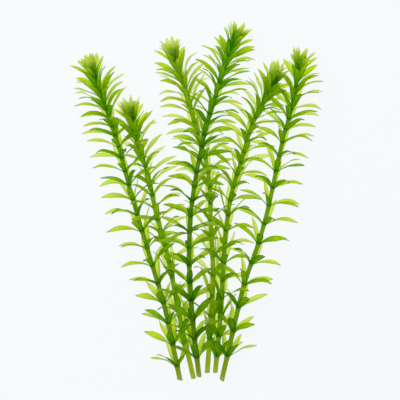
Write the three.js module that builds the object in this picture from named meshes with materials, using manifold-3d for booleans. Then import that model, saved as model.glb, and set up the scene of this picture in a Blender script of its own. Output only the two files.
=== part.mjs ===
// A bunch of six cut hydrilla stems lying loose on a table, in millimetres, +Z up.
// +Y runs from the cut ends to the growing tips, and +X is to the right as seen from above.
// Each stem is one solid with its open whorls of leaves. Its growing tip, a crown of young
// leaves folded round each other, is a second one. Leaves give way to whatever is there
// already, as they do in a real bunch: they turn to one side or lie closer to their stem.
import * as THREE from "three";
import Module from "manifold-3d";

const wasm = await Module();
wasm.setup();

// Stems
const STEM_RADIUS_FOOT = 1.4;
const STEM_RADIUS_TIP = 1.0;
const NODE_HEIGHT = 1.1; // the collar at each whorl that the leaves grow from
const NODE_SWELLING = 1.12;
const BARE_FOOT = 8; // below the lowest whorl
const STRETCHES = 24; // straight ones that stand for a stem where other stems' leaves stay clear of it

// Leaves
const LEAVES_PER_WHORL = 5;
const SIDES = LEAVES_PER_WHORL; // of a stem, each with one leaf
const LEAF_THICKNESS = 0.42;
const WIDEST_AT = 0.55; // share of a leaf's length
const ROOTED_AT = 0.6; // share of the stem's radius

// How a leaf gives way, in degrees. Its rise is above the plane across the stem.
const STEEPEST_BASE = 76; // so that an open leaf clears its own stem
const STEEPEST_TIP = 92;
const ARCH_PER_LIFT = 1.5;
const FLATTENED_BY = 45; // the lift that would take all of its twist away

// What changes along a stem: its value at the tip, where the whorls have opened and near the foot,
// and how far from the tip the first of these turns into the second. Angles are in degrees.
const INTERNODE = { tip: 0.6, open: 12.9, foot: 12.9, over: 61 };
const LEAF_LENGTH = { tip: 8.3, open: 18.5, foot: 16.3, over: 7 };
const LEAF_WIDTH = { tip: 2.3, open: 2.5, foot: 2.8, over: 30 };
const LEAF_RISE = { tip: 84, open: 44, foot: 52, over: 17 }; // above the plane across the stem
const LEAF_ARCH = { tip: 15, open: 55, foot: 30, over: 14 }; // between its base and its tip
const LEAF_TWIST = { tip: 0, open: 80, foot: 80, over: 15 }; // at its tip
const NEAR_FOOT = [105, 165]; // from the tip, where the foot's values come in

// How much leaves differ from these values, in degrees or as a share, and whorls from an even turn.
const VARIES = { azimuth: 8, rise: 6, arch: 0.2, length: 0.1, width: 0.1, twist: 0.3, whorl: 4 };

// Distances from the tip of the stem
const FIRST_WHORL = 1.6;
const CROWN_LENGTH = 13;
const CROWN_GAP = 0.3; // between a stem's end and its crown
const BUD_RADIUS = 1.7; // of the leaves still closed round the tip
const BUD_POINT = 6; // how far they reach past it

// Clearances of a leaf's middle line and edges
const LEAF_CLEARANCE = 0.95;
const STEM_CLEARANCE = 0.8;
const TABLE_CLEARANCE = 0.05;
const LEAF_REACH = 12; // no part of a leaf is further from its middle

// The stems' runs are drawn about the middle of the bunch as pictured. This is their own middle.
const MIDDLE_OF_BUNCH = [-1.95, 1.8];

// Each stem's run from its cut end to its tip, and how far apart its whorls are.
const STEMS = [
  {
    name: "left",
    seed: 11,
    spacing: 0.946,
    run: [
      [-11, -98.5, 7], [-19.5, -58, 8.5], [-27, -32.5, 8], [-38.5, 6.5, 7],
      [-45.5, 33, 7], [-51, 49.5, 7], [-58, 68.5, 7.5], [-60.5, 76, 8],
    ],
  },
  {
    name: "right",
    seed: 23,
    spacing: 1.1,
    run: [
      [12, -98.5, 7], [17.5, -74.5, 8], [24.5, -45, 8.5], [32.5, -22, 8],
      [38.5, 0, 7.5], [42.5, 19.5, 8], [46.5, 37.5, 8.5], [51, 53.5, 8], [54, 68.5, 8], [56, 79.5, 8],
    ],
  },
  {
    name: "tallest",
    seed: 37,
    spacing: 0.82,
    run: [
      [-0.5, -96.3, 8.5], [-3.5, -70, 10], [-5.8, -40, 10.5], [-5.7, -13, 11.5], [-3.5, 8, 13],
      [0, 27, 14], [3.5, 43, 12.5], [8, 58, 9.5], [14, 77, 8], [20, 92.8, 8],
    ],
  },
  {
    name: "inner_right",
    seed: 41,
    spacing: 0.88,
    run: [
      [8.5, -94.3, 4.5], [11.5, -62, 5], [13.3, -30, 5.5], [15, -10.5, 6], [18, 7.5, 6],
      [23.5, 25.5, 6], [28, 41, 6], [33, 52.5, 6], [38, 61.5, 6], [42, 71.5, 6.5],
    ],
  },
  {
    name: "inner_left",
    seed: 53,
    spacing: 0.9,
    run: [
      [-3.5, -97.5, 4.5], [-11, -64.5, 5], [-18, -28.5, 5.5], [-24.5, -5, 6],
      [-29, 16.5, 6], [-34.5, 33, 6], [-37.5, 44.5, 6], [-39, 51.2, 6.5],
    ],
  },
  {
    name: "crossing",
    seed: 127,
    spacing: 0.95,
    run: [
      [4, -94.5, 4.5], [6, -65.5, 5], [7.3, -38, 5], [6, -12, 5], [5.5, 10, 5], [2.5, 27.5, 5],
      [-3, 44.5, 5.5], [-7.5, 62, 6.5], [-13, 77, 7], [-15, 84, 7.5],
    ],
  },
];

const STEM_GREEN = 0x4f8f12;
const CROWN_GREEN = 0x6fae1a;

const { degToRad: radians, lerp, smoothstep, clamp } = THREE.MathUtils;

// One of the values above, at a distance from the tip of the stem.
function valueAt(value, distance) {
  const opened = lerp(value.tip, value.open, 1 - Math.exp(-distance / value.over));
  return lerp(opened, value.foot, smoothstep(distance, ...NEAR_FOOT));
}

// Repeatable numbers from 0 to 1, each worked out from the one before.
function seeded(seed) {
  let state = seed;
  return () => {
    state = (state * 48271) % 2147483647;
    return state / 2147483647;
  };
}

// A stem's line, with the directions across it at any distance from its tip.
function stemLine(run) {
  const points = run.map((point) => new THREE.Vector3(...point));
  const curve = new THREE.CatmullRomCurve3(points, false, "catmullrom");
  curve.arcLengthDivisions = 400;
  const length = curve.getLength();
  const at = (distance) => {
    const share = clamp(1 - distance / length, 0, 1);
    const along = curve.getTangentAt(share);
    const side = new THREE.Vector3().crossVectors(along, new THREE.Vector3(0, 0, 1)).normalize();
    const up = new THREE.Vector3().crossVectors(side, along);
    const radius = lerp(STEM_RADIUS_TIP, STEM_RADIUS_FOOT, distance / length);
    return { centre: curve.getPointAt(share), along, side, up, radius };
  };
  return { length, at };
}

const outward = (frame, azimuth) =>
  frame.side.clone().multiplyScalar(Math.cos(azimuth)).addScaledVector(frame.up, Math.sin(azimuth));

// A leaf's middle line and edges. It leaves the stem at its rise above the plane across the stem,
// and arches over on the way to its tip. One that gives way rises more, arches less or bends
// back towards the stem, twists less and turns round the stem.
function leafLines(frame, leaf, lifted, turned, shortened) {
  const rise = Math.min(leaf.rise + lifted, Math.max(leaf.rise, STEEPEST_BASE));
  const arch = Math.max(leaf.arch - ARCH_PER_LIFT * lifted, rise - STEEPEST_TIP);
  const bend = radians(Math.abs(arch) < 0.5 ? 0.5 : arch);
  const start = radians(rise);
  const out = outward(frame, radians(leaf.azimuth + turned));
  const across = new THREE.Vector3().crossVectors(frame.along, out);
  const root = frame.centre.clone().addScaledVector(out, frame.radius * ROOTED_AT);
  const scale = (leaf.length * shortened) / bend;
  const point = (share) =>
    root.clone()
      .addScaledVector(out, scale * (Math.sin(start) - Math.sin(start - bend * share)))
      .addScaledVector(frame.along, scale * (Math.cos(start - bend * share) - Math.cos(start)));
  const slope = start - bend * WIDEST_AT;
  const above = frame.along.clone().multiplyScalar(Math.cos(slope)).addScaledVector(out, -Math.sin(slope));
  const twist = radians(leaf.twist * WIDEST_AT * (1 - lifted / FLATTENED_BY));
  const wide = across.clone().multiplyScalar(Math.cos(twist)).addScaledVector(above, Math.sin(twist));
  const flat = above.clone().multiplyScalar(Math.cos(twist)).addScaledVector(across, -Math.sin(twist));
  const middle = point(WIDEST_AT);
  return {
    start: point(0.05),
    middle,
    left: middle.clone().addScaledVector(wide, -leaf.width / 2),
    right: middle.clone().addScaledVector(wide, leaf.width / 2),
    keel: middle.clone().addScaledVector(flat, -LEAF_THICKNESS),
    tip: point(1),
  };
}

// Shortest distance between two straight stretches, each given by its ends.
function gapBetween(a, b, c, d) {
  const u = b.clone().sub(a);
  const v = d.clone().sub(c);
  const w = a.clone().sub(c);
  const uu = u.dot(u);
  const uv = u.dot(v);
  const vv = v.dot(v);
  const uw = u.dot(w);
  const vw = v.dot(w);
  const spread = uu * vv - uv * uv;
  let s = spread > 1e-9 ? clamp((uv * vw - vv * uw) / spread, 0, 1) : 0;
  const t = clamp((uv * s + vw) / vv, 0, 1);
  s = clamp((uv * t - uw) / uu, 0, 1);
  return w.addScaledVector(u, s).addScaledVector(v, -t).length();
}

const strandsOf = (lines) =>
  [lines.middle, lines.left, lines.right].flatMap((widest) => [[lines.start, widest], [widest, lines.tip]]);

const reachOf = ({ start, middle, tip }) => Math.max(middle.distanceTo(start), middle.distanceTo(tip));

// Everything that a new leaf has to stay clear of, but for what it belongs to.
const placed = [];

function isClear(lines, belongsTo) {
  const lowest = Math.min(lines.left.z, lines.right.z, lines.keel.z, lines.tip.z);
  if (lowest < TABLE_CLEARANCE) return false;
  const strands = strandsOf(lines);
  return placed.every((other) => {
    const near = other.middle.distanceTo(lines.middle) < other.reach + LEAF_REACH;
    if (!near || belongsTo.includes(other.name)) return true;
    const areApart = ([a, b], [c, d]) => gapBetween(a, b, c, d) > other.clearance;
    return strands.every((strand) => other.strands.every((stretch) => areApart(strand, stretch)));
  });
}

// What a leaf tries, one after the other: a turn to either side, then more lift, and last a shorter leaf.
const YIELDS = [1, 0.8, 0.6].flatMap((shortened) =>
  [0, 8, 16, 24, 32, 40].flatMap((lifted) =>
    [0, 10, -10, 20, -20].map((turned) => [lifted, turned, shortened]),
  ),
);

function growLeaf(frame, leaf, name, belongsTo) {
  for (const [lifted, turned, shortened] of YIELDS) {
    const lines = leafLines(frame, leaf, lifted, turned, shortened);
    if (!isClear(lines, belongsTo)) continue;
    placed.push({
      name,
      strands: strandsOf(lines),
      middle: lines.middle,
      reach: reachOf(lines),
      clearance: LEAF_CLEARANCE,
    });
    return lines;
  }
  return null;
}

// The whorls of one stem, from its tip to its foot, with each leaf as it would be alone.
function planWhorls(stem) {
  const random = seeded(stem.seed);
  const give = (most) => most * (2 * random() - 1);
  const whorls = [];
  let turned = random() * 360;
  let distance = FIRST_WHORL;
  while (distance < stem.line.length - BARE_FOOT) {
    const leaves = [];
    for (let i = 0; i < LEAVES_PER_WHORL; i++) {
      leaves.push({
        azimuth: turned + (360 / LEAVES_PER_WHORL) * i + give(VARIES.azimuth),
        rise: valueAt(LEAF_RISE, distance) + give(VARIES.rise),
        arch: valueAt(LEAF_ARCH, distance) * (1 + give(VARIES.arch)),
        length: valueAt(LEAF_LENGTH, distance) * (1 + give(VARIES.length)),
        width: valueAt(LEAF_WIDTH, distance) * (1 + give(VARIES.width)),
        twist: valueAt(LEAF_TWIST, distance) * (1 + give(VARIES.twist)) * Math.sign(give(1)),
      });
    }
    whorls.push({ distance, turned, leaves, inCrown: distance < CROWN_LENGTH });
    turned += 180 / LEAVES_PER_WHORL + give(VARIES.whorl);
    distance += stem.spacing * valueAt(INTERNODE, distance);
  }
  return whorls;
}

// A stem's own stretches, which the other stems' leaves stay clear of.
function placeStem(stem) {
  const stretch = stem.line.length / STRETCHES;
  for (let i = 0; i < STRETCHES; i++) {
    const tipward = stem.line.at(stretch * i);
    const footward = stem.line.at(stretch * (i + 1));
    placed.push({
      name: stem.name,
      strands: [[tipward.centre, footward.centre]],
      middle: tipward.centre.clone().add(footward.centre).multiplyScalar(0.5),
      reach: tipward.centre.distanceTo(footward.centre) / 2,
      clearance: footward.radius + STEM_CLEARANCE,
    });
  }
}

function growWhorl(stem, whorl) {
  const frame = stem.line.at(whorl.distance);
  const crown = "crown_" + stem.name;
  const name = whorl.inCrown ? crown : "leafy_stem_" + stem.name;
  const belongsTo = whorl.inCrown ? [stem.name, crown] : [stem.name];
  whorl.lines = whorl.leaves.map((leaf) => growLeaf(frame, leaf, name, belongsTo));
}

// The corners of a ring round a stem, each between two leaves of a whorl.
function ring(frame, radius, turned) {
  return Array.from({ length: SIDES }, (_, i) => {
    const azimuth = radians(turned + (360 / SIDES) * (i - 0.5));
    return frame.centre.clone().addScaledVector(outward(frame, azimuth), radius);
  });
}

// A closed surface that is built corner by corner. A ring is the list of its corners' numbers.
class Surface {
  corners = [];
  faces = [];

  addRing(points) {
    this.corners.push(...points);
    return points.map((_, i) => this.corners.length - points.length + i);
  }

  // A band of triangles between two rings of as many corners, the upper one turned forwards if at all.
  addBand(lower, upper) {
    lower.forEach((corner, i) => {
      const next = (i + 1) % lower.length;
      this.faces.push([corner, upper[i], lower[next]], [lower[next], upper[i], upper[next]]);
    });
  }

  // How far apart two corners are.
  distance(corner, other) {
    return this.corners[corner].distanceTo(this.corners[other]);
  }

  // The flat end of a ring.
  addEnd(corners) {
    for (let i = 2; i < corners.length; i++) this.faces.push([corners[0], corners[i - 1], corners[i]]);
  }

  // The pointed end of a leaf, from its three corners at its widest.
  addPoint([right, left, keel], point) {
    const [tip] = this.addRing([point]);
    this.faces.push([right, left, tip], [left, keel, tip], [keel, right, tip]);
  }

  toGeometry() {
    const geometry = new THREE.BufferGeometry();
    geometry.setFromPoints(this.corners);
    geometry.setIndex(this.faces.flat());
    return geometry;
  }

  toSolid() {
    const vertProperties = new Float32Array(this.corners.flatMap((corner) => corner.toArray()));
    const triVerts = new Uint32Array(this.faces.flat());
    return new wasm.Manifold(new wasm.Mesh({ numProp: 3, vertProperties, triVerts }));
  }
}

// The face of a stem's collar that a leaf grows from, with the leaf, or plain where none found room.
function addLeaf(surface, [lowerRight, upperRight, upperLeft, lowerLeft], lines) {
  if (!lines) {
    surface.addEnd([lowerRight, upperRight, upperLeft, lowerLeft]);
    return;
  }
  const widest = surface.addRing([lines.right, lines.left, lines.keel]);
  const [right, left, keel] = widest;
  surface.faces.push([lowerRight, upperRight, right], [upperLeft, lowerLeft, left]);
  surface.faces.push([lowerRight, right, keel], [lowerLeft, keel, left], [lowerLeft, lowerRight, keel]);
  // The two upper faces meet along the longer diagonal, which bulges whichever way the leaf twists.
  if (surface.distance(upperRight, left) > surface.distance(upperLeft, right)) {
    surface.faces.push([upperRight, upperLeft, left], [upperRight, left, right]);
  } else {
    surface.faces.push([upperRight, upperLeft, right], [upperLeft, left, right]);
  }
  surface.addPoint(widest, lines.tip);
}

// Where a stem ends and its crown begins: half way between two whorls.
function crownBase(stem) {
  const last = stem.whorls.filter((whorl) => whorl.inCrown).at(-1);
  const first = stem.whorls.find((whorl) => !whorl.inCrown);
  return (last.distance + first.distance) / 2;
}

// A stem with its open whorls, from the foot up.
function leafyStem(stem) {
  const surface = new Surface();
  const open = stem.whorls.filter((whorl) => !whorl.inCrown).reverse();
  const foot = stem.line.at(stem.line.length);
  let below = surface.addRing(ring(foot, foot.radius, open[0].turned));
  surface.addEnd(below);
  for (const whorl of open) {
    const [lower, upper] = [0.5, -0.5].map((half) => {
      const frame = stem.line.at(whorl.distance + half * NODE_HEIGHT);
      return surface.addRing(ring(frame, frame.radius * NODE_SWELLING, whorl.turned));
    });
    surface.addBand(below, lower);
    whorl.lines.forEach((lines, i) => {
      const next = (i + 1) % SIDES;
      addLeaf(surface, [lower[i], upper[i], upper[next], lower[next]], lines);
    });
    below = upper;
  }
  const end = stem.line.at(crownBase(stem) + CROWN_GAP / 2);
  const top = surface.addRing(ring(end, end.radius, open.at(-1).turned));
  surface.addBand(below, top);
  surface.addEnd(top.toReversed());
  return surface.toGeometry();
}

// The top of a stem with the bud of its youngest leaves, which are still closed round each other.
function bud(stem) {
  const surface = new Surface();
  const base = stem.line.at(crownBase(stem) - CROWN_GAP / 2);
  const widest = stem.line.at(0);
  const low = surface.addRing(ring(base, base.radius, stem.whorls[0].turned));
  const high = surface.addRing(ring(widest, BUD_RADIUS, stem.whorls[0].turned));
  const [tip] = surface.addRing([widest.centre.clone().addScaledVector(widest.along, BUD_POINT)]);
  surface.addEnd(low);
  surface.addBand(low, high);
  high.forEach((corner, i) => surface.faces.push([corner, tip, high[(i + 1) % SIDES]]));
  return surface.toSolid();
}

// A crown, with every second whorl of its leaves.
function crown(stem) {
  let solid = bud(stem);
  const whorls = stem.whorls.filter((whorl) => whorl.inCrown).reverse();
  for (const whorl of whorls.filter((_, i) => i % 2 === 0)) {
    for (const lines of whorl.lines.filter((lines) => lines)) {
      const surface = new Surface();
      const [right, left, keel] = surface.addRing([lines.right, lines.left, lines.keel]);
      surface.addPoint([right, left, keel], lines.tip);
      surface.addPoint([left, right, keel], stem.line.at(whorl.distance).centre);
      solid = solid.add(surface.toSolid());
    }
  }
  const { vertProperties, triVerts } = solid.getMesh();
  const geometry = new THREE.BufferGeometry();
  geometry.setAttribute("position", new THREE.BufferAttribute(vertProperties, 3));
  geometry.setIndex(new THREE.BufferAttribute(triVerts, 1));
  return geometry;
}

function namedMesh(name, geometry, color) {
  const material = new THREE.MeshStandardMaterial({ color, roughness: 0.5, metalness: 0 });
  const mesh = new THREE.Mesh(geometry, material);
  mesh.name = name;
  return mesh;
}

const stems = STEMS.map((stem) => ({ ...stem, line: stemLine(stem.run) }));
stems.forEach(placeStem);
for (const stem of stems) stem.whorls = planWhorls(stem);
for (const inCrown of [true, false]) {
  for (const stem of stems) {
    for (const whorl of stem.whorls) {
      if (whorl.inCrown === inCrown) growWhorl(stem, whorl);
    }
  }
}

const bunch = new THREE.Group();
bunch.position.set(-MIDDLE_OF_BUNCH[0], -MIDDLE_OF_BUNCH[1], 0);
for (const stem of stems) {
  bunch.add(namedMesh("leafy_stem_" + stem.name, leafyStem(stem), STEM_GREEN));
  bunch.add(namedMesh("crown_" + stem.name, crown(stem), CROWN_GREEN));
}

const part = new THREE.Group();
part.add(bunch);
export default part;
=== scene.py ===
"""The looks of a bunch of six cut hydrilla stems that lies on a light table.

The leaves grow by the same rules, from the same values and in the same order as the bunch's
solids, so each one lies where its solid does. Growth is worked out in millimetres, +Z up.
"""
import functools
import math

import bpy
import numpy as np
from bpy.props import FloatProperty, FloatVectorProperty, PointerProperty
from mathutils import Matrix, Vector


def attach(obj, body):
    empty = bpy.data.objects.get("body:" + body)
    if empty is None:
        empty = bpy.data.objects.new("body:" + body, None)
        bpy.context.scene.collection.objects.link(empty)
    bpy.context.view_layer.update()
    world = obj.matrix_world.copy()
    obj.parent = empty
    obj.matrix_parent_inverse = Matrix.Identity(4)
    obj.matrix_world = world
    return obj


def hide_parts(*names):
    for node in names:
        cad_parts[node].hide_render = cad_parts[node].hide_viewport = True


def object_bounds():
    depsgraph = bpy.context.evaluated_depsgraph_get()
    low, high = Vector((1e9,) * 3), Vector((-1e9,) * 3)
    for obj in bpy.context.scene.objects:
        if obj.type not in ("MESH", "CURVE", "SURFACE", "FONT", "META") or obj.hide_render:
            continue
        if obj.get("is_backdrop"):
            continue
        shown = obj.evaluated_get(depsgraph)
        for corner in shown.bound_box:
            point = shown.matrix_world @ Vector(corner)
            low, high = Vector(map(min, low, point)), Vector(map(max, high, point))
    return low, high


bl_info = {
    "name": "Hydrilla Bunch",
    "version": (1, 0, 0),
    "blender": (4, 5, 0),
    "location": "3D View > Sidebar > Hydrilla",
    "description": "Grows a bunch of cut hydrilla stems with round stems, leaf blades and leafy crowns",
    "category": "Add Mesh",
}

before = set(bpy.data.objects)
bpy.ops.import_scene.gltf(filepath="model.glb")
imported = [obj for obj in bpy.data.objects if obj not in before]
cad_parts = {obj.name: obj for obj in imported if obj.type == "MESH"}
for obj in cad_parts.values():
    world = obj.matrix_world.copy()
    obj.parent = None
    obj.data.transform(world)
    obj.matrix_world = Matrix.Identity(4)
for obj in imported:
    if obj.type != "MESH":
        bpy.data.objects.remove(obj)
solids_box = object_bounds()

MM = 0.001

# Stems, in millimetres
STEM_RADIUS_FOOT = 1.4
STEM_RADIUS_TIP = 1.0
BARE_FOOT = 8.0  # below the lowest whorl
STRETCHES = 24  # straight ones that stand for a stem where other stems' leaves stay clear of it
CURVE_STEPS = 400  # for measuring along a stem
NEARBY = 0.0001  # share of a stem's run to either side of a place that gives its direction

# Leaves
LEAVES_PER_WHORL = 5
KEEL_DEPTH = 0.42  # of the solid leaf below its edges
WIDEST_AT = 0.55  # share of a leaf's length
ROOTED_AT = 0.6  # share of the stem's radius
FREE_FROM = 0.05  # share of its length from which a leaf stays clear of others
STRANDS_PER_LEAF = 6  # straight stretches that stand for a leaf there

# How a leaf gives way, in degrees. Its rise is above the plane across the stem.
STEEPEST_BASE = 76.0
STEEPEST_TIP = 92.0
ARCH_PER_LIFT = 1.5
FLATTENED_BY = 45.0  # the lift that would take all of its twist away
LEAST_ARCH = 0.5  # because the curve can't be worked out for none

# What changes along a stem: its value at the tip, where the whorls have opened and near the foot,
# and how far from the tip the first of these turns into the second. Angles are in degrees.
INTERNODE = {"tip": 0.6, "open": 12.9, "foot": 12.9, "over": 61.0}
LEAF_LENGTH = {"tip": 8.3, "open": 18.5, "foot": 16.3, "over": 7.0}
LEAF_WIDTH = {"tip": 2.3, "open": 2.5, "foot": 2.8, "over": 30.0}
LEAF_RISE = {"tip": 84.0, "open": 44.0, "foot": 52.0, "over": 17.0}
LEAF_ARCH = {"tip": 15.0, "open": 55.0, "foot": 30.0, "over": 14.0}
LEAF_TWIST = {"tip": 0.0, "open": 80.0, "foot": 80.0, "over": 15.0}
NEAR_FOOT = (105.0, 165.0)  # from the tip, where the foot's values come in

# How much leaves differ from these values, in degrees or as a share, and whorls from an even turn.
VARIES = {"azimuth": 8, "rise": 6, "arch": 0.2, "length": 0.1, "width": 0.1, "twist": 0.3, "whorl": 4}

# Distances from the tip of the stem
FIRST_WHORL = 1.6
CROWN_LENGTH = 13.0

# Clearances of a leaf's middle line and edges
LEAF_CLEARANCE = 0.95
STEM_CLEARANCE = 0.8
TABLE_CLEARANCE = 0.05
LEAF_REACH = 12.0  # no part of a leaf is further from its middle
SIDE_BY_SIDE = 1e-9  # how little two stretches spread apart to count as parallel

# What a leaf tries, one after the other: a turn to either side, then more lift, and last a shorter leaf.
YIELDS = [
    (lifted, turned, shortened)
    for shortened in (1.0, 0.8, 0.6)
    for lifted in (0, 8, 16, 24, 32, 40)
    for turned in (0, 10, -10, 20, -20)
]

# The middle of the stems' runs as pictured, which lies at the origin of the frame.
MIDDLE_OF_BUNCH = np.array([-1.95, 1.8, 0.0])

# Each stem's run from its cut end to its tip, and how far apart its whorls are.
STEMS = {
    "left": {
        "seed": 11,
        "spacing": 0.946,
        "run": [
            (-11, -98.5, 7), (-19.5, -58, 8.5), (-27, -32.5, 8), (-38.5, 6.5, 7),
            (-45.5, 33, 7), (-51, 49.5, 7), (-58, 68.5, 7.5), (-60.5, 76, 8),
        ],
    },
    "right": {
        "seed": 23,
        "spacing": 1.1,
        "run": [
            (12, -98.5, 7), (17.5, -74.5, 8), (24.5, -45, 8.5), (32.5, -22, 8), (38.5, 0, 7.5),
            (42.5, 19.5, 8), (46.5, 37.5, 8.5), (51, 53.5, 8), (54, 68.5, 8), (56, 79.5, 8),
        ],
    },
    "tallest": {
        "seed": 37,
        "spacing": 0.82,
        "run": [
            (-0.5, -96.3, 8.5), (-3.5, -70, 10), (-5.8, -40, 10.5), (-5.7, -13, 11.5), (-3.5, 8, 13),
            (0, 27, 14), (3.5, 43, 12.5), (8, 58, 9.5), (14, 77, 8), (20, 92.8, 8),
        ],
    },
    "inner_right": {
        "seed": 41,
        "spacing": 0.88,
        "run": [
            (8.5, -94.3, 4.5), (11.5, -62, 5), (13.3, -30, 5.5), (15, -10.5, 6), (18, 7.5, 6),
            (23.5, 25.5, 6), (28, 41, 6), (33, 52.5, 6), (38, 61.5, 6), (42, 71.5, 6.5),
        ],
    },
    "inner_left": {
        "seed": 53,
        "spacing": 0.9,
        "run": [
            (-3.5, -97.5, 4.5), (-11, -64.5, 5), (-18, -28.5, 5.5), (-24.5, -5, 6),
            (-29, 16.5, 6), (-34.5, 33, 6), (-37.5, 44.5, 6), (-39, 51.2, 6.5),
        ],
    },
    "crossing": {
        "seed": 127,
        "spacing": 0.95,
        "run": [
            (4, -94.5, 4.5), (6, -65.5, 5), (7.3, -38, 5), (6, -12, 5), (5.5, 10, 5), (2.5, 27.5, 5),
            (-3, 44.5, 5.5), (-7.5, 62, 6.5), (-13, 77, 7), (-15, 84, 7.5),
        ],
    },
}


def lerp(low, high, share):
    return (1 - share) * low + share * high


def smoothstep(value, low, high):
    share = np.clip((value - low) / (high - low), 0.0, 1.0)
    return share * share * (3 - 2 * share)


def value_at(value, distance):
    """One of the values above, at a distance from the tip of the stem."""
    opened = lerp(value["tip"], value["open"], 1 - math.exp(-distance / value["over"]))
    return lerp(opened, value["foot"], smoothstep(distance, *NEAR_FOOT))


def seeded(seed):
    """A source of repeatable numbers from 0 to 1, each worked out from the one before."""
    factor, modulus = 48271, 2147483647
    state = seed

    def draw():
        nonlocal state
        state = state * factor % modulus
        return state / modulus

    return draw


class StemLine:
    """A stem's middle line, a smooth curve through its points, with the directions across it."""

    def __init__(self, run):
        points = np.array(run, float)
        before = 2 * points[0] - points[1]
        after = 2 * points[-1] - points[-2]
        self.points = np.vstack((before, points, after))
        self.shares = np.arange(CURVE_STEPS + 1) / CURVE_STEPS
        chords = np.linalg.norm(np.diff(self.place(self.shares), axis=0), axis=1)
        self.travelled = np.concatenate(([0.0], np.cumsum(chords)))
        self.length = self.travelled[-1]

    def place(self, shares):
        """The curve's points at shares of its run of points."""
        spans = len(self.points) - 3
        position = np.atleast_1d(shares) * spans
        first = np.minimum(position.astype(int), spans - 1)
        t = (position - first)[:, None]
        a, b, c, d = (self.points[first + i] for i in range(4))
        start_slope = 0.5 * (c - a)
        end_slope = 0.5 * (d - b)
        square = -3 * b + 3 * c - 2 * start_slope - end_slope
        cube = 2 * b - 2 * c + start_slope + end_slope
        return b + start_slope * t + square * t**2 + cube * t**3

    def at(self, distance):
        """Where the stem is at a distance from its tip, and the directions along and across it."""
        from_foot = np.clip(1 - distance / self.length, 0.0, 1.0) * self.length
        share = np.interp(from_foot, self.travelled, self.shares)
        behind, ahead = self.place([max(share - NEARBY, 0.0), min(share + NEARBY, 1.0)])
        along = (ahead - behind) / np.linalg.norm(ahead - behind)
        side = np.cross(along, (0.0, 0.0, 1.0))
        side /= np.linalg.norm(side)
        return {
            "centre": self.place(share)[0],
            "along": along,
            "side": side,
            "up": np.cross(side, along),
            "radius": lerp(STEM_RADIUS_TIP, STEM_RADIUS_FOOT, distance / self.length),
        }


def outward(place, azimuth):
    """The direction away from the stem at an azimuth round it."""
    return place["side"] * math.cos(azimuth) + place["up"] * math.sin(azimuth)


class Leaf:
    """A leaf's middle line, which arches from the stem over to its tip, with the directions across it.

    One that gives way rises more, arches less or bends back towards the stem, twists less and
    turns round the stem.
    """

    def __init__(self, place, plan, lifted=0, turned=0, shortened=1.0):
        rise = min(plan["rise"] + lifted, max(plan["rise"], STEEPEST_BASE))
        arch = max(plan["arch"] - ARCH_PER_LIFT * lifted, rise - STEEPEST_TIP)
        self.bend = math.radians(LEAST_ARCH if abs(arch) < LEAST_ARCH else arch)
        self.start = math.radians(rise)
        self.out = outward(place, math.radians(plan["azimuth"] + turned))
        self.along = place["along"]
        self.across = np.cross(self.along, self.out)
        self.root = place["centre"] + self.out * place["radius"] * ROOTED_AT
        self.length = plan["length"] * shortened
        self.width = plan["width"]
        self.twist = math.radians(plan["twist"] * (1 - lifted / FLATTENED_BY))

    def points(self, shares):
        """Points of the middle line at shares of the leaf's length."""
        shares = np.atleast_1d(shares)[:, None]
        scale = self.length / self.bend
        slope = self.start - self.bend * shares
        out = scale * (math.sin(self.start) - np.sin(slope))
        along = scale * (np.cos(slope) - math.cos(self.start))
        return self.root + self.out * out + self.along * along

    def directions(self, shares, untwisted=0.0):
        """The directions over the blade's width, and up from its upper face."""
        shares = np.atleast_1d(shares)[:, None]
        slope = self.start - self.bend * shares
        twist = self.twist * (1 - untwisted) * shares
        above = self.along * np.cos(slope) - self.out * np.sin(slope)
        wide = self.across * np.cos(twist) + above * np.sin(twist)
        flat = above * np.cos(twist) - self.across * np.sin(twist)
        return wide, flat

    def strands(self):
        """The solid leaf as six straight stretches, and its lowest corners' height."""
        start, middle, tip = self.points([FREE_FROM, WIDEST_AT, 1.0])
        wide, flat = (direction[0] for direction in self.directions(WIDEST_AT))
        left = middle - wide * self.width / 2
        right = middle + wide * self.width / 2
        keel = middle - flat * KEEL_DEPTH
        lowest = min(corner[2] for corner in (left, right, keel, tip))
        stretches = [(start, middle), (middle, tip), (start, left), (left, tip), (start, right), (right, tip)]
        return np.array(stretches), middle, lowest


def gaps(strands, stretches):
    """Shortest distances between straight stretches, each given by its ends."""
    a, b = strands[None, :, None, 0], strands[None, :, None, 1]
    c, d = stretches[:, None, :, 0], stretches[:, None, :, 1]
    u, v, w = b - a, d - c, a - c
    uu, uv, vv = (u * u).sum(-1), (u * v).sum(-1), (v * v).sum(-1)
    uw, vw = (u * w).sum(-1), (v * w).sum(-1)
    spread = uu * vv - uv * uv
    askew = spread > SIDE_BY_SIDE
    s = np.where(askew, np.clip((uv * vw - vv * uw) / np.where(askew, spread, 1.0), 0, 1), 0.0)
    t = np.clip((uv * s + vw) / vv, 0, 1)
    s = np.clip((uv * t - uw) / uu, 0, 1)
    return np.linalg.norm(w + u * s[..., None] - v * t[..., None], axis=-1)


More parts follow.
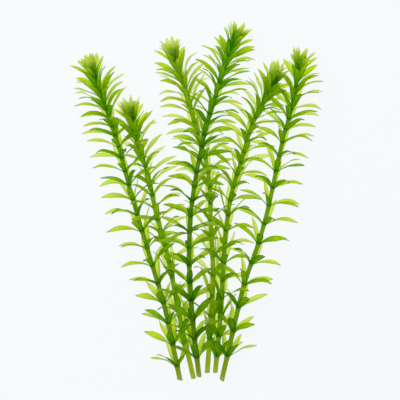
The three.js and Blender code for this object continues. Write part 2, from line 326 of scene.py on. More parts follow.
class Bunch:
    """The six stems with every leaf where it found room.

    Each leaf gives way to whatever was there before it, apart from what it belongs to.
    """

    def __init__(self):
        self.owners, self.stretches, self.middles = [], [], []
        self.reaches, self.clearances = [], []
        self.stems = {name: {"line": StemLine(stem["run"]), **stem} for name, stem in STEMS.items()}
        for name, stem in self.stems.items():
            self.place_stem(name, stem["line"])
        for stem in self.stems.values():
            stem["whorls"] = plan_whorls(stem)
        for in_crown in (True, False):
            for name, stem in self.stems.items():
                for whorl in stem["whorls"]:
                    if whorl["in_crown"] == in_crown:
                        self.grow_whorl(name, stem["line"], whorl)

    def add(self, owner, stretches, middle, reach, clearance):
        self.owners.append(owner)
        self.stretches.append(stretches)
        self.middles.append(middle)
        self.reaches.append(reach)
        self.clearances.append(clearance)

    def place_stem(self, name, line):
        """Adds a stem's own stretches, which the other stems' leaves stay clear of."""
        stretch = line.length / STRETCHES
        for i in range(STRETCHES):
            tipward = line.at(stretch * i)
            footward = line.at(stretch * (i + 1))
            ends = (tipward["centre"], footward["centre"])
            middle = (ends[0] + ends[1]) / 2
            reach = np.linalg.norm(ends[0] - ends[1]) / 2
            stretches = np.array([ends] * STRANDS_PER_LEAF)
            self.add(name, stretches, middle, reach, footward["radius"] + STEM_CLEARANCE)

    def is_clear(self, leaf, belongs_to):
        strands, middle, lowest = leaf.strands()
        if lowest < TABLE_CLEARANCE:
            return False
        distances = np.linalg.norm(np.array(self.middles) - middle, axis=1)
        within = np.flatnonzero(distances < np.array(self.reaches) + LEAF_REACH)
        near = [i for i in within if self.owners[i] not in belongs_to]
        if not near:
            return True
        clearances = np.array([self.clearances[i] for i in near])
        others = np.array([self.stretches[i] for i in near])
        return bool((gaps(strands, others) > clearances[:, None, None]).all())

    def grow_whorl(self, name, line, whorl):
        """Gives each leaf of a whorl the first place where it has room, if there is one."""
        place = line.at(whorl["distance"])
        owner = ("crown_" if whorl["in_crown"] else "open_") + name
        belongs_to = (name, owner) if whorl["in_crown"] else (name,)
        whorl["leaves"] = []
        for plan in whorl["plans"]:
            for lifted, turned, shortened in YIELDS:
                leaf = Leaf(place, plan, lifted, turned, shortened)
                if not self.is_clear(leaf, belongs_to):
                    continue
                strands, middle, _ = leaf.strands()
                start, tip = strands[0][0], strands[1][1]
                reach = max(np.linalg.norm(middle - start), np.linalg.norm(middle - tip))
                self.add(owner, strands, middle, reach, LEAF_CLEARANCE)
                whorl["leaves"].append(leaf)
                break


def plan_whorls(stem):
    """The whorls of one stem, from its tip to its foot, with each leaf as it would be alone."""
    random = seeded(stem["seed"])

    def give(most):
        return most * (2 * random() - 1)

    whorls = []
    turned = random() * 360
    distance = FIRST_WHORL
    while distance < stem["line"].length - BARE_FOOT:
        plans = []
        for i in range(LEAVES_PER_WHORL):
            plans.append({
                "azimuth": turned + 360 / LEAVES_PER_WHORL * i + give(VARIES["azimuth"]),
                "rise": value_at(LEAF_RISE, distance) + give(VARIES["rise"]),
                "arch": value_at(LEAF_ARCH, distance) * (1 + give(VARIES["arch"])),
                "length": value_at(LEAF_LENGTH, distance) * (1 + give(VARIES["length"])),
                "width": value_at(LEAF_WIDTH, distance) * (1 + give(VARIES["width"])),
                "twist": value_at(LEAF_TWIST, distance) * (1 + give(VARIES["twist"])) * np.sign(give(1)),
            })
        whorls.append({"distance": distance, "plans": plans, "in_crown": distance < CROWN_LENGTH})
        turned += 180 / LEAVES_PER_WHORL + give(VARIES["whorl"])
        distance += stem["spacing"] * value_at(INTERNODE, distance)
    return whorls


@functools.cache
def grown_bunch():
    return Bunch()


# Blades. A ring round a blade runs over its upper face and back under the lower one.
STATIONS = np.array([0.0, 0.05, 0.12, 0.2, 0.29, 0.38, 0.47, 0.56, 0.65, 0.73, 0.81, 0.88, 0.94, 0.98])
UPPER_HALF_WIDTHS = np.array([-1.0, -0.7, -0.22, 0.0, 0.22, 0.7, 1.0])
LOWER_HALF_WIDTHS = np.array([0.7, 0.22, 0.0, -0.22, -0.7])
RING_HALF_WIDTHS = np.concatenate((UPPER_HALF_WIDTHS, LOWER_HALF_WIDTHS))
RING_SIZE = len(RING_HALF_WIDTHS)

# The form of a blade. Its places are shares of its length.
BASE_WIDTH = 0.6  # share of the full one
FULL_WIDTH_FROM = 0.35
DROOPS_FROM = 0.6
FOLD_ROUNDNESS = 1.4  # 1 is a sharp fold, and 2 is a gutter
EDGE_ROUNDNESS = 4  # the higher, the nearer to its edge a blade stays thick
RIB_LOST_AT_TIP = 0.7  # share of the midrib's depth
RIPPLES = 1.4  # waves of the whole blade
EDGE_WAVES = 9  # of its edges, in radians over its length
EDGE_PHASE = 7  # how differently they start from leaf to leaf, in radians
EDGE_SHARE = 0.5  # of their height, compared with the ripples
RESTS_BELOW = 0.3  # height under which blades and stems lie ever flatter on the table
SHARP_FROM = 60.0  # degrees between two faces

# The youngest leaves, which are still closed round the tip of the stem, from the outer ones in.
BUD_WHORLS = [
    {"leaves": 5, "distance": 6.5, "rise": 74.0, "arch": 15.0, "length": 15.4, "width": 2.8},
    {"leaves": 3, "distance": 5.0, "rise": 79.0, "arch": 5.0, "length": 14.2, "width": 2.9},
    {"leaves": 2, "distance": 3.5, "rise": 85.0, "arch": 0.0, "length": 13.6, "width": 2.8},
]
BUD_TURN = 8.0  # the most that one is out of place round the stem, in degrees
BUD_TWIST = 60.0

# How far back each stem lies in the bunch. Those underneath are painted paler, those on top darker: painted
# light and painted shade.
PAINTED_PALENESS = {
    "left": 0.2, "right": 0.25, "tallest": 0.0, "inner_right": 0.55, "inner_left": 0.7, "crossing": 0.85,
}

# How the way that a leaf points counts, from 0 for level to 1 for straight up
UPRIGHT = (0.2, 0.9)  # or straight down
# For painted shade: leaves that point up are drawn thicker and so darker, those that point down paler
PAINTED_SHADE_UPWARDS = (-0.2, 0.9)

# Distances from a stem's tip between which its leaves grow to their full thickness and width
THICKENS = (10.0, 60.0)
WIDENS = (30.0, 130.0)

CROWN_STEP = 2  # a crown has every second whorl, as its solid does
CROWN_PAINTED_PALENESS = 0.3  # share of its stem's painted paleness, so a crown has less painted light and shade

# The stems' surface, in millimetres
STEM_SIDES = 16
RING_SPACING = 0.55  # along a stem
MAP_LENGTH = 100.0  # along a stem, for one unit of its face map
FLUTES = 5  # flat ribs round a stem, one for each leaf of a whorl
FLUTE_DEPTH = 0.025  # share of the radius
NODE_LENGTH = 1.3  # of the swelling at a whorl
NODE_RING_LENGTH = 0.45  # of the fine ring of colour in its middle
NODE_RING_STRENGTH = 0.4
STEM_END_RADIUS = 0.3  # inside the bud
STEM_END_LENGTH = 0.4  # of the point beyond the last ring there
END_TAPER = 8.0  # over which it narrows to that
CUT_SLOPES = (0.3, 0.7)  # from the least to the most slanted
CUT_LENGTH = 4.0  # of the end that slants
FADED_LENGTH = 5.0  # of the end that fades towards the cut
FADED_STRENGTH = 0.55
PITH_INSET = 0.25  # share of the radius between the cut's rim and its pith
PITH_DEPTH = 0.25  # of the hollow in it

# The stage, in metres
PICTURE_MIDDLE = (1.95 * MM, 0.44 * MM)
TABLE_HALF = 2.0  # of its side
SOFTBOX_SIDE = 0.9
SOFTBOX_PLACE = (-0.55, 0.6, 1.0)
SOFTBOX_TURN = (-31, -29, 0)  # in degrees, so that it faces the bunch


def linear(hex_colour):
    """A colour given as sRGB hex, as the linear values that shaders take."""
    channels = [int(hex_colour[i:i + 2], 16) / 255 for i in (1, 3, 5)]
    values = [c / 12.92 if c <= 0.04045 else ((c + 0.055) / 1.055) ** 2.4 for c in channels]
    return (*values, 1.0)


def blade_outline(shares, tapers_from):
    """A blade's width at shares of its length: narrower at the base, widest in the middle, pointed."""
    base = lerp(BASE_WIDTH, 1.0, smoothstep(shares, 0.0, FULL_WIDTH_FROM))
    towards_tip = np.clip((shares - tapers_from) / (1 - tapers_from), 0.0, 1.0)
    return base * (1 - towards_tip**2)


def blade_corners(leaf, sizes, reach, widened, tapers_from, untwisted, fold, hook, sway, wave, phase):
    """The corners of one blade, ring by ring from the base, with its tip last."""
    middle = leaf.points(STATIONS * reach)
    wide, flat = leaf.directions(STATIONS * reach, untwisted)
    outline = blade_outline(STATIONS, tapers_from)[:, None]
    half_width = leaf.width * widened / 2 * outline
    upper, folded = (
        -fold * outline * (1 - np.abs(half_widths) ** FOLD_ROUNDNESS)
        for half_widths in (UPPER_HALF_WIDTHS, LOWER_HALF_WIDTHS)
    )
    thickness = sizes.blade_thickness / MM * (1 - LOWER_HALF_WIDTHS**EDGE_ROUNDNESS)
    rib = sizes.midrib_depth / MM * (1 - RIB_LOST_AT_TIP * STATIONS[:, None])
    lower = folded - thickness - rib * (LOWER_HALF_WIDTHS == 0)
    depth = np.hstack((upper, lower))
    ripple = wave * np.sin(2 * math.pi * (RIPPLES * STATIONS + phase)) * STATIONS
    droop = -hook * smoothstep(STATIONS, DROOPS_FROM, 1.0) ** 2
    edges = np.sin(EDGE_WAVES * STATIONS + EDGE_PHASE * phase)[:, None]
    lifted = (ripple + droop)[:, None] + depth + wave * RING_HALF_WIDTHS * edges * EDGE_SHARE
    aside = half_width * RING_HALF_WIDTHS + sway * STATIONS[:, None] ** 2
    rings = middle[:, None] + wide[:, None] * aside[..., None] + flat[:, None] * lifted[..., None]
    tip_wide, tip_flat = (direction[0] for direction in leaf.directions(reach, untwisted))
    tip = leaf.points(reach)[0] + tip_wide * sway - tip_flat * hook
    return np.vstack((rings.reshape(-1, 3), tip))


def blade_faces():
    """The faces of one blade, from the numbers of its corners."""
    count = RING_SIZE
    faces = [(0, 1, count - 1), (count // 2 - 1, count // 2, count // 2 + 1)]
    faces += [(i, i + 1, count - 1 - i, count - i) for i in range(1, count // 2 - 1)]
    for station in range(len(STATIONS) - 1):
        low, high = station * count, (station + 1) * count
        for i in range(count):
            after = (i + 1) % count
            faces.append((low + i, high + i, high + after, low + after))
    last = (len(STATIONS) - 1) * count
    tip = last + count
    faces += [(last + i, tip, last + (i + 1) % count) for i in range(count)]
    return faces


def blade_map():
    """Over the blade and along it, each from 0 to 1, for every corner of one blade."""
    rings = [(x / 2 + 0.5, share) for share in STATIONS for x in RING_HALF_WIDTHS]
    return np.array(rings + [(0.5, 1.0)])


def settle(corners):
    """Corners in the frame of the bunch, where what would reach into the table lies flat on it."""
    placed = corners - MIDDLE_OF_BUNCH
    height = placed[:, 2]
    touching = height < RESTS_BELOW
    height[touching] = RESTS_BELOW * np.exp(height[touching] / RESTS_BELOW - 1)
    return placed


def make_piece(name, corners, faces, face_map, values, material, replaced):
    """Makes one joined mesh of the bunch, in metres, which stands for the solids that it replaces."""
    mesh = bpy.data.meshes.new(name)
    mesh.from_pydata((corners * MM).tolist(), [], faces)
    if mesh.validate():
        raise RuntimeError(f"{name} has faces that don't hold together")
    mesh.polygons.foreach_set("use_smooth", [True] * len(mesh.polygons))
    mesh.set_sharp_from_angle(angle=math.radians(SHARP_FROM))
    loops = np.empty(len(mesh.loops), int)
    mesh.loops.foreach_get("vertex_index", loops)
    mesh.uv_layers.new(name="surface").data.foreach_set("uv", face_map[loops].ravel())
    for value_name, per_corner in values.items():
        attribute = mesh.attributes.new(value_name, "FLOAT", "POINT")
        attribute.data.foreach_set("value", np.asarray(per_corner, np.float32))
    mesh.materials.append(material)
    piece = bpy.data.objects.new(name, mesh)
    bpy.context.scene.collection.objects.link(piece)
    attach(piece, "root")
    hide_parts(*replaced)
    return piece


def make_leaves(name, grown, material, replaced, painted_paleness):
    """Makes one piece of many blades. Each comes with its corners and its values by name."""
    faces, corners = [], []
    one_blade = blade_faces()
    values = {value_name: [] for value_name in grown[0][1]}
    for blade, own_values in grown:
        first = sum(len(block) for block in corners)
        faces += [tuple(first + corner for corner in face) for face in one_blade]
        corners.append(blade)
        for value_name, value in own_values.items():
            values[value_name].append(np.full(len(blade), value))
    values = {value_name: np.concatenate(blocks) for value_name, blocks in values.items()}
    # Each corner carries its stem's painted paleness, for painted light and shade
    values["pale"] = np.full(sum(len(block) for block in corners), painted_paleness)
    face_map = np.tile(blade_map(), (len(grown), 1))
    return make_piece(name, settle(np.vstack(corners)), faces, face_map, values, material, replaced)


def new_material(name):
    material = bpy.data.materials.new(name)
    material.use_nodes = True
    material.node_tree.nodes.clear()
    return material


def add_node(material, kind, inputs=None, output=0, ramp=(), **settings):
    """Adds a shader node with its settings, and gives one of its outputs, or itself for none.

    Each input, by name or number, is a value or another node's output. A ramp is a list of
    positions and colours.
    """
    tree = material.node_tree
    node = tree.nodes.new("ShaderNode" + kind)
    for name, value in settings.items():
        setattr(node, name, value)
    for name, value in (inputs or {}).items():
        if isinstance(value, bpy.types.NodeSocket):
            tree.links.new(value, node.inputs[name])
        else:
            node.inputs[name].default_value = value
    for i, (position, colour) in enumerate(ramp):
        stops = node.color_ramp.elements
        stop = stops[i] if i < len(stops) else stops.new(position)
        stop.position = position
        stop.color = colour
    return node if output is None else node.outputs[output]


# The numbers of a colour mix's sockets, which share their names with those of other kinds of mix.
MIX_SHARE, MIX_FIRST, MIX_SECOND, MIX_RESULT = 0, 6, 7, 2


def leaf_tissue(name, colours, thrown_back, point, point_from, base_thickness, let_through):
    """Living leaf, two cells thick, with one midrib and rows of cells along it.

    It lets more light through than it throws back. So a single blade glows yellow-green over a
    bright table, and wherever the tissue is thicker or blades lie over each other it turns a
    darker, purer green. Its wet cuticle gives a soft sheen.
    """
    material = new_material(name)
    age, lot, pale, thickness = (
        add_node(material, "Attribute", output="Fac", attribute_name=value_name)
        for value_name in ("age", "lot", "pale", "thickness")
    )
    surface = add_node(material, "UVMap", uv_map="surface")
    across, along, _ = add_node(material, "SeparateXYZ", {0: surface}, output=None).outputs
    aside = add_node(material, "Math", {0: across, 1: 0.5}, operation="SUBTRACT")
    off_middle = add_node(material, "Math", {0: aside}, operation="ABSOLUTE")

    # The colour of light that has come through tissue of common thickness, and that of the point
    through = add_node(
        material, "ValToRGB", {"Fac": age},
        ramp=[(0.0, colours.young), (0.08, colours.opened), (0.75, colours.grown), (1.0, colours.oldest)],
    )
    towards_point = add_node(material, "MapRange", {"Value": along, "From Min": point_from, "From Max": 1.0})
    # Leaves of stems underneath are mixed towards a paler colour, which is painted light, and the tips
    # towards the point's colour
    for share, over in ((pale, colours.painted_light_leaf), (towards_point, point)):
        through = add_node(
            material, "Mix", {MIX_SHARE: share, MIX_FIRST: through, MIX_SECOND: over},
            output=MIX_RESULT, data_type="RGBA",
        )

    # Patches of denser tissue, about 2.5 mm across
    place = add_node(material, "TexCoord", output="Object")
    patches = add_node(material, "TexNoise", {"Vector": place, "Scale": 1 / (2.5 * MM), "Detail": 2.0})

    # Rows of cells along the blade. Real ones are 0.05 mm wide, and nine over the width are as fine as
    # shows. Each leaf has its own, because its lot moves it in the noise.
    scaled = [
        add_node(material, "Math", {0: value, 1: times}, operation="MULTIPLY")
        for value, times in ((across, 9.0), (along, 2.5), (lot, 60.0))
    ]
    rows = add_node(material, "CombineXYZ", dict(enumerate(scaled)))
    cell_rows = add_node(material, "TexNoise", {"Vector": rows, "Scale": 1.0})

    # A leaf's thickness times shares that change over it: what each depends on, the two values between
    # which it changes, and the shares there
    for depends_on, values, shares in (
        # Stems on top drawn thicker and so darker, those underneath thinner and paler: painted shade and
        # painted light
        (pale, (0.0, 1.0), (1.5, 0.72)),
        (patches, (0.35, 0.65), (0.85, 1.2)),
        (cell_rows, (0.35, 0.65), (0.85, 1.2)),
        (off_middle, (0.0, 0.06), (1.5, 1.0)),  # midrib
        (off_middle, (0.32, 0.5), (1.0, 2.8)),  # margins, drawn thicker and so darker: painted shade where the edges turn up
        (along, (0.0, 0.6), (base_thickness, 1.0)),
        (along, (0.88, 1.0), (1.0, 1.4)),
    ):
        share = add_node(
            material, "MapRange",
            {
                "Value": depends_on, "From Min": values[0], "From Max": values[1],
                "To Min": shares[0], "To Max": shares[1],
            },
            interpolation_type="SMOOTHSTEP",
        )
        thickness = add_node(material, "Math", {0: thickness, 1: share}, operation="MULTIPLY")

    # Light crosses both faces of a blade, so each face takes half of its thickness
    half_thickness = add_node(material, "Math", {0: thickness, 1: 0.5}, operation="MULTIPLY")
    through_face = add_node(material, "Gamma", {"Color": through, "Gamma": half_thickness})

    # What it throws back is a deeper green of the same pattern
    through_both = add_node(material, "Gamma", {"Color": through, "Gamma": thickness})
    back = add_node(
        material, "Mix", {MIX_SHARE: 1.0, MIX_FIRST: through_both, MIX_SECOND: thrown_back},
        output=MIX_RESULT, data_type="RGBA", blend_type="MULTIPLY",
    )
    relief = add_node(material, "Bump", {"Height": cell_rows, "Strength": 0.35, "Distance": 0.06 * MM})
    face = add_node(
        material, "BsdfPrincipled", {"Base Color": back, "Roughness": 0.42, "IOR": 1.42, "Normal": relief},
    )
    glow = add_node(material, "BsdfTranslucent", {"Color": through_face, "Normal": relief})
    mixed = add_node(material, "MixShader", {0: let_through, 1: face, 2: glow})
    add_node(material, "OutputMaterial", {"Surface": mixed}, output=None)
    return material


def stem_tissue(name, colours, let_through):
    """Soft green stem, smooth and full of water, with long fibres inside.

    Light passes through it, so it stays bright all round. Its nodes are marked by a fine dark
    ring, and at the cut end it fades to olive and pale pith.
    """
    material = new_material(name)
    age, pale, node_ring, cut = (
        add_node(material, "Attribute", output="Fac", attribute_name=value_name)
        for value_name in ("age", "pale", "node_ring", "cut")
    )
    surface = add_node(material, "UVMap", uv_map="surface")
    colour = add_node(
        material, "ValToRGB", {"Fac": age}, ramp=[(0.8, colours.stem), (0.94, colours.stem_foot)],
    )

    # Fibres along the stem, about 0.4 mm apart and 7 mm long: 20 round it, and 14 in each 100 mm of it
    stretched = add_node(material, "Mapping", {"Vector": surface, "Scale": (20.0, 14.0, 1.0)})
    fibres = add_node(material, "TexNoise", {"Vector": stretched, "Scale": 1.0, "Detail": 3.0})
    fibre_tone = add_node(
        material, "ValToRGB", {"Fac": fibres}, ramp=[(0.3, colours.fibre), (0.6, linear("#FFFFFF"))],
    )
    # Stems underneath are mixed towards a paler colour, which is painted light; then come the fibres, the
    # node rings and the pith at the cut
    for share, over, blend_type in (
        (pale, colours.painted_light_stem, "MIX"),
        (0.8, fibre_tone, "MULTIPLY"),
        (node_ring, colours.node_ring, "MIX"),
        (cut, colours.pith, "MIX"),
    ):
        colour = add_node(
            material, "Mix", {MIX_SHARE: share, MIX_FIRST: colour, MIX_SECOND: over},
            output=MIX_RESULT, data_type="RGBA", blend_type=blend_type,
        )
    relief = add_node(material, "Bump", {"Height": fibres, "Strength": 0.3, "Distance": 0.08 * MM})
    skin = add_node(
        material, "BsdfPrincipled", {"Base Color": colour, "Roughness": 0.32, "IOR": 1.4, "Normal": relief},
    )
    glow = add_node(material, "BsdfTranslucent", {"Color": colour, "Normal": relief})
    mixed = add_node(material, "MixShader", {0: let_through, 1: skin, 2: glow})
    add_node(material, "OutputMaterial", {"Surface": mixed}, output=None)
    return material


def length_property(name, description, default, least, most):
    """A length, given in millimetres."""
    return FloatProperty(
        name=name, description=description, default=default * MM,
        min=least * MM, max=most * MM, unit="LENGTH",
    )


class HydrillaSizes(bpy.types.PropertyGroup):
    """Sizes of the stems and blades that a user may change without moving any of them."""

    stem_swelling: FloatProperty(
        name="Node Swelling", description="How much thicker a stem is at a whorl",
        default=0.16, min=0.0, max=0.5, subtype="FACTOR",
    )
    blade_thickness: length_property("Blade Thickness", "Of a blade beside its midrib", 0.16, 0.05, 0.5)
    midrib_depth: length_property("Midrib Depth", "How far it stands out under the blade", 0.12, 0.0, 0.5)
    open_fold: length_property(
        "Fold of Open Leaves", "How deep an open leaf is folded along its midrib", 0.26, 0.0, 1.0,
    )
    crown_fold: length_property(
        "Fold of Young Leaves", "How deep a young leaf is cupped round the tip", 0.45, 0.0, 1.0,
    )
    tip_hook: length_property(
        "Hook of the Leaf Tips", "The most that an open leaf's tip curls under", 1.8, 0.0, 3.0,
    )
    sway: length_property("Sway", "The most that a leaf's tip bends to one side", 1.0, 0.0, 2.0)
    ripple: length_property("Ripple", "The most that a blade waves up and down", 0.45, 0.0, 1.0)


def colour_property(name, description, hex_colour):
    """A colour, given as sRGB hex."""
    return FloatVectorProperty(
        name=name, description=description, default=linear(hex_colour), size=4,
        min=0.0, max=1.0, subtype="COLOR",
    )


class HydrillaColours(bpy.types.PropertyGroup):
    """Colours of the living tissue, as it looks with light passing through."""

    young: colour_property("Young Leaf", "Leaves at the growing tip", "#B4EE05")
    opened: colour_property("Opened Leaf", "Leaves that have just opened", "#DCF430")
    grown: colour_property("Grown Leaf", "Leaves along the middle of a stem", "#D8EE36")
    oldest: colour_property("Oldest Leaf", "Leaves near the cut end", "#D6EE38")
    young_back: colour_property("Young Leaf's Face", "What a young leaf throws back", "#A8F058")
    grown_back: colour_property("Grown Leaf's Face", "What an open leaf throws back", "#64CCC0")
    # Paler colour mixed into the leaves of stems underneath: painted light
    painted_light_leaf: colour_property("Shaded Leaf", "Leaves underneath the others", "#DCF030")
    point: colour_property("Leaf Point", "The olive last of an open leaf's tip", "#C0C450")
    young_point: colour_property("Young Leaf's Point", "The outer half of a young leaf", "#E0F024")
    stem: colour_property("Stem", "Stem from its tip to near its foot", "#BCDC40")
    stem_foot: colour_property("Stem Foot", "Stem near the cut end", "#D0DE5C")
    # Paler colour mixed into stems underneath: painted light
    painted_light_stem: colour_property("Shaded Stem", "Stems underneath the others", "#E4F060")
    fibre: colour_property("Fibres", "Tint of the fibres on a stem", "#C4DCB0")
    node_ring: colour_property("Node Ring", "Fine ring where the leaves of a whorl meet", "#7CB820")
    pith: colour_property("Pith", "Pale inside of the stem, seen at the cut", "#DDE5B4")


class HydrillaStage(bpy.types.PropertyGroup):
    """The light table, the lights and the camera."""

    frame_width: length_property("Frame Width", "Width that the picture takes in", 224, 50, 1000)
    camera_height: length_property("Camera Height", "Of the camera over the table", 1200, 300, 5000)
    table_glow: FloatProperty(
        name="Table Glow", description="Brightness of the light table", default=0.94, min=0.0, max=2.0,
    )
    room_light: FloatProperty(
        name="Room Light", description="Brightness of the room", default=0.3, min=0.0, max=2.0,
    )
    softbox_power: FloatProperty(
        name="Softbox", description="Power of the soft light at the upper left",
        default=5.0, min=0.0, max=50.0, unit="POWER",
    )
    table: colour_property("Table", "Opal top of the light table", "#606265")
    glow: colour_property("Glow", "Light that comes through the table", "#F6F8FA")
    room: colour_property("Room", "Pale room all round", "#F6F9FD")


class HYDRILLA_OT_stems(bpy.types.Operator):
    """Grow the six round stems from their cut ends up into the crowns"""

    bl_idname = "hydrilla.stems"
    bl_label = "Stems"

    def execute(self, context):
        sizes = context.scene.hydrilla_sizes
        colours = context.scene.hydrilla_colours
        material = stem_tissue("hydrilla_stem_living_tissue", colours, let_through=0.86)
        for name, stem in grown_bunch().stems.items():
            self.make_stem(name, stem, sizes, material)
        return {"FINISHED"}

    def make_stem(self, name, stem, sizes, material):
        line = stem["line"]
        random = np.random.default_rng(stem["seed"])
        whorl_distances = np.array([whorl["distance"] for whorl in stem["whorls"]])
        distances = np.linspace(0.0, line.length, round(line.length / RING_SPACING) + 1)
        angles = np.arange(STEM_SIDES) * 2 * math.pi / STEM_SIDES
        cut_slope = random.uniform(*CUT_SLOPES)
        cut_towards = random.uniform(0, 2 * math.pi)
        rings, rows, ages, node_rings, cuts = [], [], [], [], []
        for distance in distances:
            place = line.at(distance)
            from_node = np.abs(whorl_distances - distance).min()
            swelling = 1 + sizes.stem_swelling * math.exp(-((from_node / NODE_LENGTH) ** 2))
            tapered = lerp(STEM_END_RADIUS, place["radius"], smoothstep(distance, 0.0, END_TAPER))
            radius = tapered * (swelling if distance > CROWN_LENGTH else 1.0)
            flutes = 1 + FLUTE_DEPTH * np.cos(FLUTES * angles + stem["seed"])
            ring = place["centre"] + radius * (
                place["side"] * (np.cos(angles) * flutes)[:, None]
                + place["up"] * (np.sin(angles) * flutes)[:, None]
            )
            # The knife went through at a slant, so the last rings lean back on one side.
            near_cut = smoothstep(distance, line.length - CUT_LENGTH, line.length)
            lean = cut_slope * radius * (1 + np.cos(angles - cut_towards)) * near_cut
            rings.append(ring + place["along"] * lean[:, None])
            along = np.full(STEM_SIDES, distance / MAP_LENGTH)
            rows.append(np.column_stack((angles / (2 * math.pi), along)))
            ages.append(np.full(STEM_SIDES, distance / line.length))
            ringed = NODE_RING_STRENGTH * math.exp(-((from_node / NODE_RING_LENGTH) ** 2))
            node_rings.append(np.full(STEM_SIDES, ringed))
            faded = FADED_STRENGTH * smoothstep(distance, line.length - FADED_LENGTH, line.length)
            cuts.append(np.full(STEM_SIDES, faded))
        count = len(distances)
        tip_centre = line.at(0.0)["centre"] + line.at(0.0)["along"] * STEM_END_LENGTH
        cut_rim = rings[-1]
        cut_middle = cut_rim.mean(axis=0)
        pith_ring = lerp(cut_rim, cut_middle, PITH_INSET)
        pith_middle = cut_middle + line.at(line.length)["along"] * PITH_DEPTH
        # The pith's rim, the tip and the pith's middle come after the rings.
        corners = np.vstack((*rings, pith_ring, tip_centre, pith_middle))
        pith, tip, middle = count * STEM_SIDES, (count + 1) * STEM_SIDES, (count + 1) * STEM_SIDES + 1
        faces = []
        for i in range(STEM_SIDES):
            after = (i + 1) % STEM_SIDES
            faces.append((tip, after, i))
            for row in range(count):
                upper, lower = row * STEM_SIDES, (row + 1) * STEM_SIDES
                faces.append((upper + i, upper + after, lower + after, lower + i))
            faces.append((middle, pith + i, pith + after))
        last = np.full(STEM_SIDES + 2, 1.0)
        last[STEM_SIDES] = 0.0
        values = {
            "age": np.concatenate((*ages, last)),
            "node_ring": np.concatenate((*node_rings, last * 0)),
            "cut": np.concatenate((*cuts, last)),
            # the stem's painted paleness, for painted light and shade
            "pale": np.full(len(corners), PAINTED_PALENESS[name]),
        }
        face_map = np.vstack((*rows, rows[-1], [[0.5, 0.0], [0.5, rows[-1][0][1]]]))
        make_piece(
            "stem_" + name, settle(corners), faces, face_map, values, material,
            ["leafy_stem_" + name],
        )


class HYDRILLA_OT_open_leaves(bpy.types.Operator):
    """Grow the open whorls of leaves along the six stems"""

    bl_idname = "hydrilla.open_leaves"
    bl_label = "Open Leaves"

    def execute(self, context):
        sizes = context.scene.hydrilla_sizes
        colours = context.scene.hydrilla_colours
        material = leaf_tissue(
            "hydrilla_open_leaf_living_tissue", colours, colours.grown_back,
            point=colours.point, point_from=0.86, base_thickness=1.4, let_through=0.92,
        )
        for name, stem in grown_bunch().stems.items():
            random = np.random.default_rng(stem["seed"])
            grown = []
            for whorl in stem["whorls"]:
                if whorl["in_crown"]:
                    continue
                for leaf in whorl["leaves"]:
                    # Leaves at the sides of a stem turn their face up. Leaves that point up are drawn
                    # thickest, so darkest, and those that point down thinnest, so palest: painted shade and
                    # painted light. Leaves that have just opened are thin.
                    upright = smoothstep(abs(leaf.out[2]), *UPRIGHT)
                    painted_shade_upwards = smoothstep(leaf.out[2], *PAINTED_SHADE_UPWARDS)
                    grown_up = lerp(0.7, 1.0, smoothstep(whorl["distance"], *THICKENS))
                    blade = blade_corners(
                        leaf, sizes,
                        reach=1.0,
                        widened=lerp(1.2, 1.42, smoothstep(whorl["distance"], *WIDENS)),
                        tapers_from=0.45,
                        untwisted=lerp(-0.15, 0.75, upright) + random.uniform(-0.2, 0.25),
                        fold=sizes.open_fold / MM * random.uniform(0.7, 1.3),
                        hook=sizes.tip_hook / MM * random.uniform(0.0, 0.9),
                        sway=sizes.sway / MM * random.uniform(-1.0, 1.0),
                        wave=sizes.ripple / MM * random.uniform(0.2, 1.0),
                        phase=random.uniform(0, 1),
                    )
                    grown.append((blade, {
                        "age": whorl["distance"] / stem["line"].length,
                        "lot": random.uniform(0, 1),
                        "thickness": grown_up * lerp(0.46, 2.0, painted_shade_upwards**1.4) * random.uniform(0.7, 1.3),
                    }))
            make_leaves(
                "leaves_" + name, grown, material,
                ["leafy_stem_" + name], PAINTED_PALENESS[name],
            )
        return {"FINISHED"}


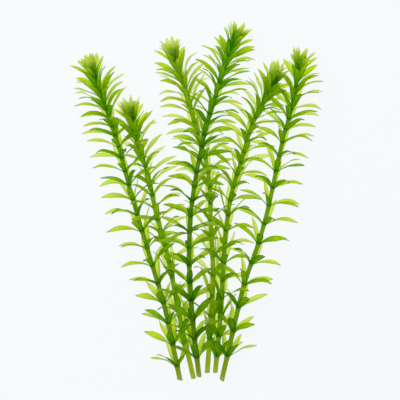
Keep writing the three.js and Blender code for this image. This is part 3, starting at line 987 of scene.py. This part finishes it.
class HYDRILLA_OT_crowns(bpy.types.Operator):
    """Grow the crowns of young leaves, with their buds, at the six growing tips"""

    bl_idname = "hydrilla.crowns"
    bl_label = "Crowns"

    def execute(self, context):
        sizes = context.scene.hydrilla_sizes
        colours = context.scene.hydrilla_colours
        material = leaf_tissue(
            "hydrilla_young_leaf_living_tissue", colours, colours.young_back,
            point=colours.young_point, point_from=0.35, base_thickness=1.8, let_through=0.95,
        )
        for name, stem in grown_bunch().stems.items():
            random = np.random.default_rng(stem["seed"] + 1)
            whorls = [whorl for whorl in stem["whorls"] if whorl["in_crown"]][::-CROWN_STEP]
            leaves = [(leaf, whorl["distance"]) for whorl in whorls for leaf in whorl["leaves"]]
            leaves += [(leaf, 0.0) for leaf in self.bud_leaves(stem["line"], random)]
            grown = []
            for leaf, distance in leaves:
                # The tissue is thinnest in the bud and thickens as a leaf opens.
                grown_up = lerp(0.16, 0.75, smoothstep(distance, 0.0, CROWN_LENGTH))
                upright = smoothstep(abs(leaf.out[2]), *UPRIGHT)
                blade = blade_corners(
                    leaf, sizes,
                    reach=random.uniform(0.82, 1.02),
                    widened=1.35,
                    tapers_from=0.5,
                    untwisted=lerp(-1.0, 0.5, upright),
                    fold=sizes.crown_fold / MM * random.uniform(0.4, 0.9),
                    hook=sizes.tip_hook / MM * random.uniform(0.1, 0.6),
                    sway=sizes.sway / MM * random.uniform(-0.4, 0.4),
                    wave=sizes.ripple / MM * random.uniform(0.1, 0.5),
                    phase=random.uniform(0, 1),
                )
                grown.append((blade, {
                    "age": distance / stem["line"].length,
                    "lot": random.uniform(0, 1),
                    "thickness": grown_up * random.uniform(0.8, 1.2),
                }))
            make_leaves(
                "crown_leaves_" + name, grown, material, ["crown_" + name],
                PAINTED_PALENESS[name] * CROWN_PAINTED_PALENESS,
            )
        return {"FINISHED"}

    def bud_leaves(self, line, random):
        """The youngest leaves, each whorl turned between the leaves of the one before."""
        for turn, whorl in enumerate(BUD_WHORLS):
            place = line.at(whorl["distance"])
            for i in range(whorl["leaves"]):
                azimuth = 360 / whorl["leaves"] * (i + turn / 2) + random.uniform(-BUD_TURN, BUD_TURN)
                twist = random.uniform(-BUD_TWIST, BUD_TWIST)
                yield Leaf(place, {**whorl, "azimuth": azimuth, "twist": twist})


class HYDRILLA_OT_stage(bpy.types.Operator):
    """Set up the light table, the soft light and the camera straight above"""

    bl_idname = "hydrilla.stage"
    bl_label = "Stage"

    def execute(self, context):
        stage = context.scene.hydrilla_stage
        self.make_table(context, stage)
        self.make_light(context, stage)
        self.make_camera(context, stage)
        context.scene.view_settings.view_transform = "Standard"
        return {"FINISHED"}

    def make_table(self, context, stage):
        # Opal acrylic with a light under it, moulded smooth: an even pale sheet without a reflection.
        material = new_material("opal_acrylic_light_table")
        top = add_node(
            material, "BsdfPrincipled",
            {
                "Base Color": stage.table, "Roughness": 0.7, "IOR": 1.49,
                "Emission Color": stage.glow, "Emission Strength": stage.table_glow,
            },
        )
        add_node(material, "OutputMaterial", {"Surface": top}, output=None)
        corners = [(x * TABLE_HALF, y * TABLE_HALF, 0.0) for x, y in ((-1, -1), (1, -1), (1, 1), (-1, 1))]
        mesh = bpy.data.meshes.new("table")
        mesh.from_pydata(corners, [], [(0, 1, 2, 3)])
        mesh.materials.append(material)
        table = bpy.data.objects.new("table", mesh)
        context.scene.collection.objects.link(table)
        table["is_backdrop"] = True

    def make_light(self, context, stage):
        world = bpy.data.worlds.new("pale_room")
        world.use_nodes = True
        background = world.node_tree.nodes["Background"]
        background.inputs["Color"].default_value = stage.room
        background.inputs["Strength"].default_value = stage.room_light
        context.scene.world = world
        lamp = bpy.data.lights.new("softbox", "AREA")
        lamp.size = SOFTBOX_SIDE
        lamp.energy = stage.softbox_power
        softbox = bpy.data.objects.new("softbox", lamp)
        softbox.location = SOFTBOX_PLACE
        softbox.rotation_euler = [math.radians(turn) for turn in SOFTBOX_TURN]
        context.scene.collection.objects.link(softbox)

    def make_camera(self, context, stage):
        lens = bpy.data.cameras.new("camera")
        lens.lens = lens.sensor_width * stage.camera_height / stage.frame_width
        lens.clip_end = 10.0
        camera = bpy.data.objects.new("camera", lens)
        camera.location = (*PICTURE_MIDDLE, stage.camera_height)
        context.scene.collection.objects.link(camera)
        context.scene.camera = camera


class HYDRILLA_PT_panel(bpy.types.Panel):
    """Lists the pieces of the bunch with their sizes and colours"""

    bl_idname = "HYDRILLA_PT_panel"
    bl_label = "Hydrilla Bunch"
    bl_space_type = "VIEW_3D"
    bl_region_type = "UI"
    bl_category = "Hydrilla"

    def draw(self, context):
        for group in (
            context.scene.hydrilla_sizes, context.scene.hydrilla_colours, context.scene.hydrilla_stage,
        ):
            box = self.layout.box()
            for name in group.__annotations__:
                box.prop(group, name)
        for operator in OPERATORS:
            self.layout.operator(operator.bl_idname)


OPERATORS = (HYDRILLA_OT_stems, HYDRILLA_OT_open_leaves, HYDRILLA_OT_crowns, HYDRILLA_OT_stage)
CLASSES = (HydrillaSizes, HydrillaColours, HydrillaStage, *OPERATORS, HYDRILLA_PT_panel)


def register():
    for cls in CLASSES:
        bpy.utils.register_class(cls)
    bpy.types.Scene.hydrilla_sizes = PointerProperty(type=HydrillaSizes)
    bpy.types.Scene.hydrilla_colours = PointerProperty(type=HydrillaColours)
    bpy.types.Scene.hydrilla_stage = PointerProperty(type=HydrillaStage)


def unregister():
    del bpy.types.Scene.hydrilla_stage
    del bpy.types.Scene.hydrilla_colours
    del bpy.types.Scene.hydrilla_sizes
    for cls in reversed(CLASSES):
        bpy.utils.unregister_class(cls)


def main():
    register()
    bpy.ops.hydrilla.stems()
    bpy.ops.hydrilla.open_leaves()
    bpy.ops.hydrilla.crowns()
    bpy.ops.hydrilla.stage()
    boxes = {"solids": solids_box, "visual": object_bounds()}
    {name: [list(corner) for corner in box] for name, box in boxes.items()}


if __name__ == "__main__":
    main()
